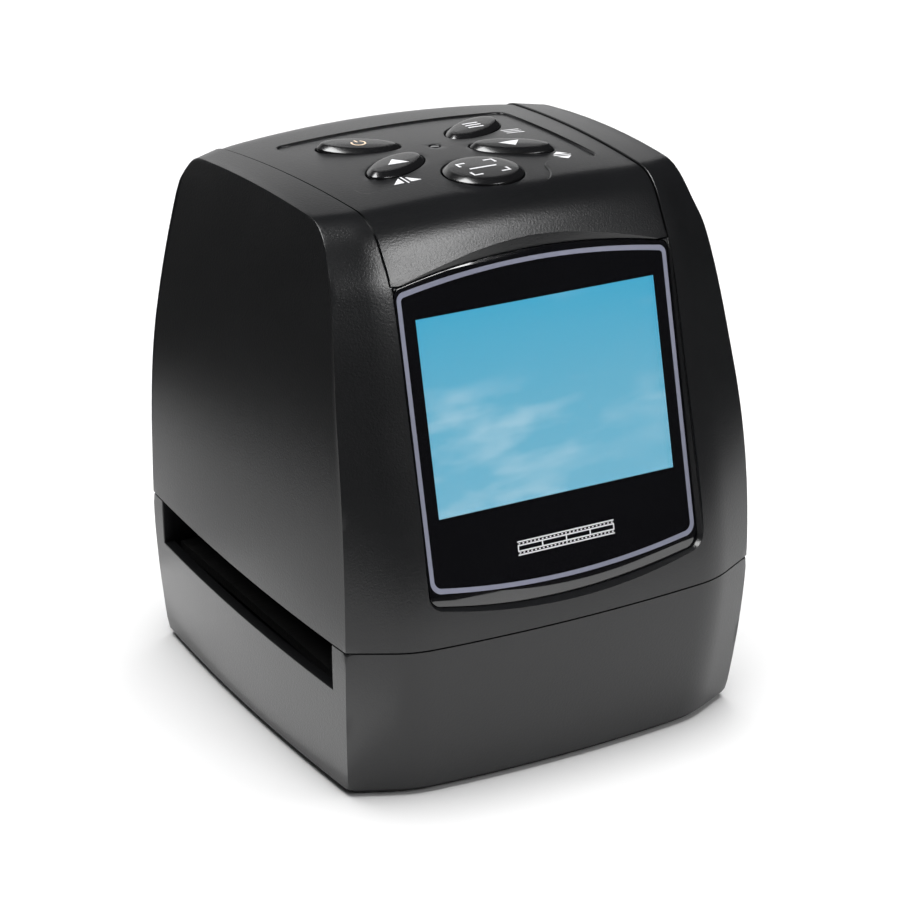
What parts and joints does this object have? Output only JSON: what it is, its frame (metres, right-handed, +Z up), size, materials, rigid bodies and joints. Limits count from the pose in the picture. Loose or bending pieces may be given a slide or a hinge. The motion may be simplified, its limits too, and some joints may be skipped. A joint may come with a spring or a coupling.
{
  "type": "film negative scanner",
  "caption": "Small upright desktop scanner for film negatives and slides, with a tilted colour screen in front, leaf-shaped push buttons on top and a film slot through the base.",
  "frame": {"origin": "middle of the footprint, at the height of the rubber feet's soles", "axes": "+X to the right of someone facing the screen, along the film slot; -Y towards that person, the side the screen leans back from; +Z up"},
  "size_m": [0.087, 0.0926, 0.1036],
  "materials": {
    "case_plastic": "fine-grained charcoal ABS, satin",
    "inner_plastic": "matt black moulding",
    "foot_rubber": "matt black rubber",
    "screw_steel": "zinc plated",
    "plated_steel": "tin-plated sheet",
    "window_plastic": "clear acrylic printed black behind, gloss",
    "screen_glass": "colour screen, lit",
    "ribbon_film": "amber polyimide film",
    "ribbon_cable": "white flat cable",
    "button_plastic": "polished black",
    "ivory_plastic": "natural acetal",
    "switch_plastic": "black switch body",
    "circuit_board": "green solder mask",
    "chip_plastic": "black epoxy",
    "socket_plastic": "cream connector plastic",
    "light_pipe": "clear acrylic",
    "led_plastic": "clear epoxy",
    "jack_plastic": "yellow",
    "sensor_glass": "cover glass over the chip",
    "filter_glass": "coated, faint green",
    "lens_glass": "coated, clear",
    "gate_glass": "clear glass over an opal diffuser",
    "white_plastic": "white moulding",
    "wire_insulation": "red and black PVC"
  },
  "bodies": {
    "scanner": {"upper_case": "case_plastic", "top_band": "case_plastic", "rear_panel": "case_plastic", "base_case": "case_plastic", "bottom_cover": "inner_plastic", "rubber_feet": "foot_rubber", "case_screws": "screw_steel", "cover_screws": "screw_steel", "band_screws": "screw_steel", "display_window": "window_plastic", "window_tape": "inner_plastic", "screen_panel": "screen_glass", "screen_tray": "plated_steel", "display_bracket": "inner_plastic", "bracket_screws": "screw_steel", "screen_ribbon": "ribbon_film", "switch_bodies": "switch_plastic", "button_board": "circuit_board", "status_light_pipe": "light_pipe", "status_light": "led_plastic", "button_ribbon": "ribbon_film", "main_board": "circuit_board", "processor": "chip_plastic", "memory_chips": "chip_plastic", "board_parts": "socket_plastic", "board_screws": "screw_steel", "socket_board": "circuit_board", "usb_socket": "plated_steel", "tv_socket": "jack_plastic", "card_socket": "plated_steel", "board_link_ribbon": "ribbon_cable", "sensor_board": "circuit_board", "image_sensor": "sensor_glass", "infrared_filter": "filter_glass", "sensor_ribbon": "ribbon_film", "lens_holder": "inner_plastic", "lens_barrel": "inner_plastic", "lens_elements": "lens_glass", "lens_tower": "inner_plastic", "tower_screws": "screw_steel", "film_guide": "inner_plastic", "film_deck": "inner_plastic", "gate_glass_and_diffuser": "gate_glass", "light_box": "white_plastic", "light_board": "circuit_board", "light_lead": "wire_insulation", "click_stop_housing": "inner_plastic", "click_stop_spring": "screw_steel"},
    "power_key": {"power_button": "button_plastic", "power_stem": "ivory_plastic"},
    "menu_key": {"menu_button": "button_plastic", "menu_stem": "ivory_plastic"},
    "mirror_key": {"mirror_button": "button_plastic", "mirror_stem": "ivory_plastic"},
    "flip_key": {"flip_button": "button_plastic", "flip_stem": "ivory_plastic"},
    "scan_key": {"scan_button": "button_plastic", "scan_stem": "ivory_plastic"},
    "click_stop": {"click_stop_pin": "ivory_plastic"}
  },
  "joints": [
    {"name": "power_press", "type": "slide", "parent": "scanner", "child": "power_key", "axis": [0, 0, -1], "range_m": [0, 0.0005], "stiffness_N_per_m": 800},
    {"name": "menu_press", "type": "slide", "parent": "scanner", "child": "menu_key", "axis": [0, 0, -1], "range_m": [0, 0.0005], "stiffness_N_per_m": 800},
    {"name": "mirror_press", "type": "slide", "parent": "scanner", "child": "mirror_key", "axis": [0, 0, -1], "range_m": [0, 0.0005], "stiffness_N_per_m": 800},
    {"name": "flip_press", "type": "slide", "parent": "scanner", "child": "flip_key", "axis": [0, 0, -1], "range_m": [0, 0.0005], "stiffness_N_per_m": 800},
    {"name": "scan_press", "type": "slide", "parent": "scanner", "child": "scan_key", "axis": [0, 0, -1], "range_m": [0, 0.0005], "stiffness_N_per_m": 800},
    {"name": "click_stop_slide", "type": "slide", "parent": "scanner", "child": "click_stop", "axis": [0, 0, 1], "range_m": [0, 0.0009], "stiffness_N_per_m": 250, "deforming": ["click_stop_spring"]}
  ]
}
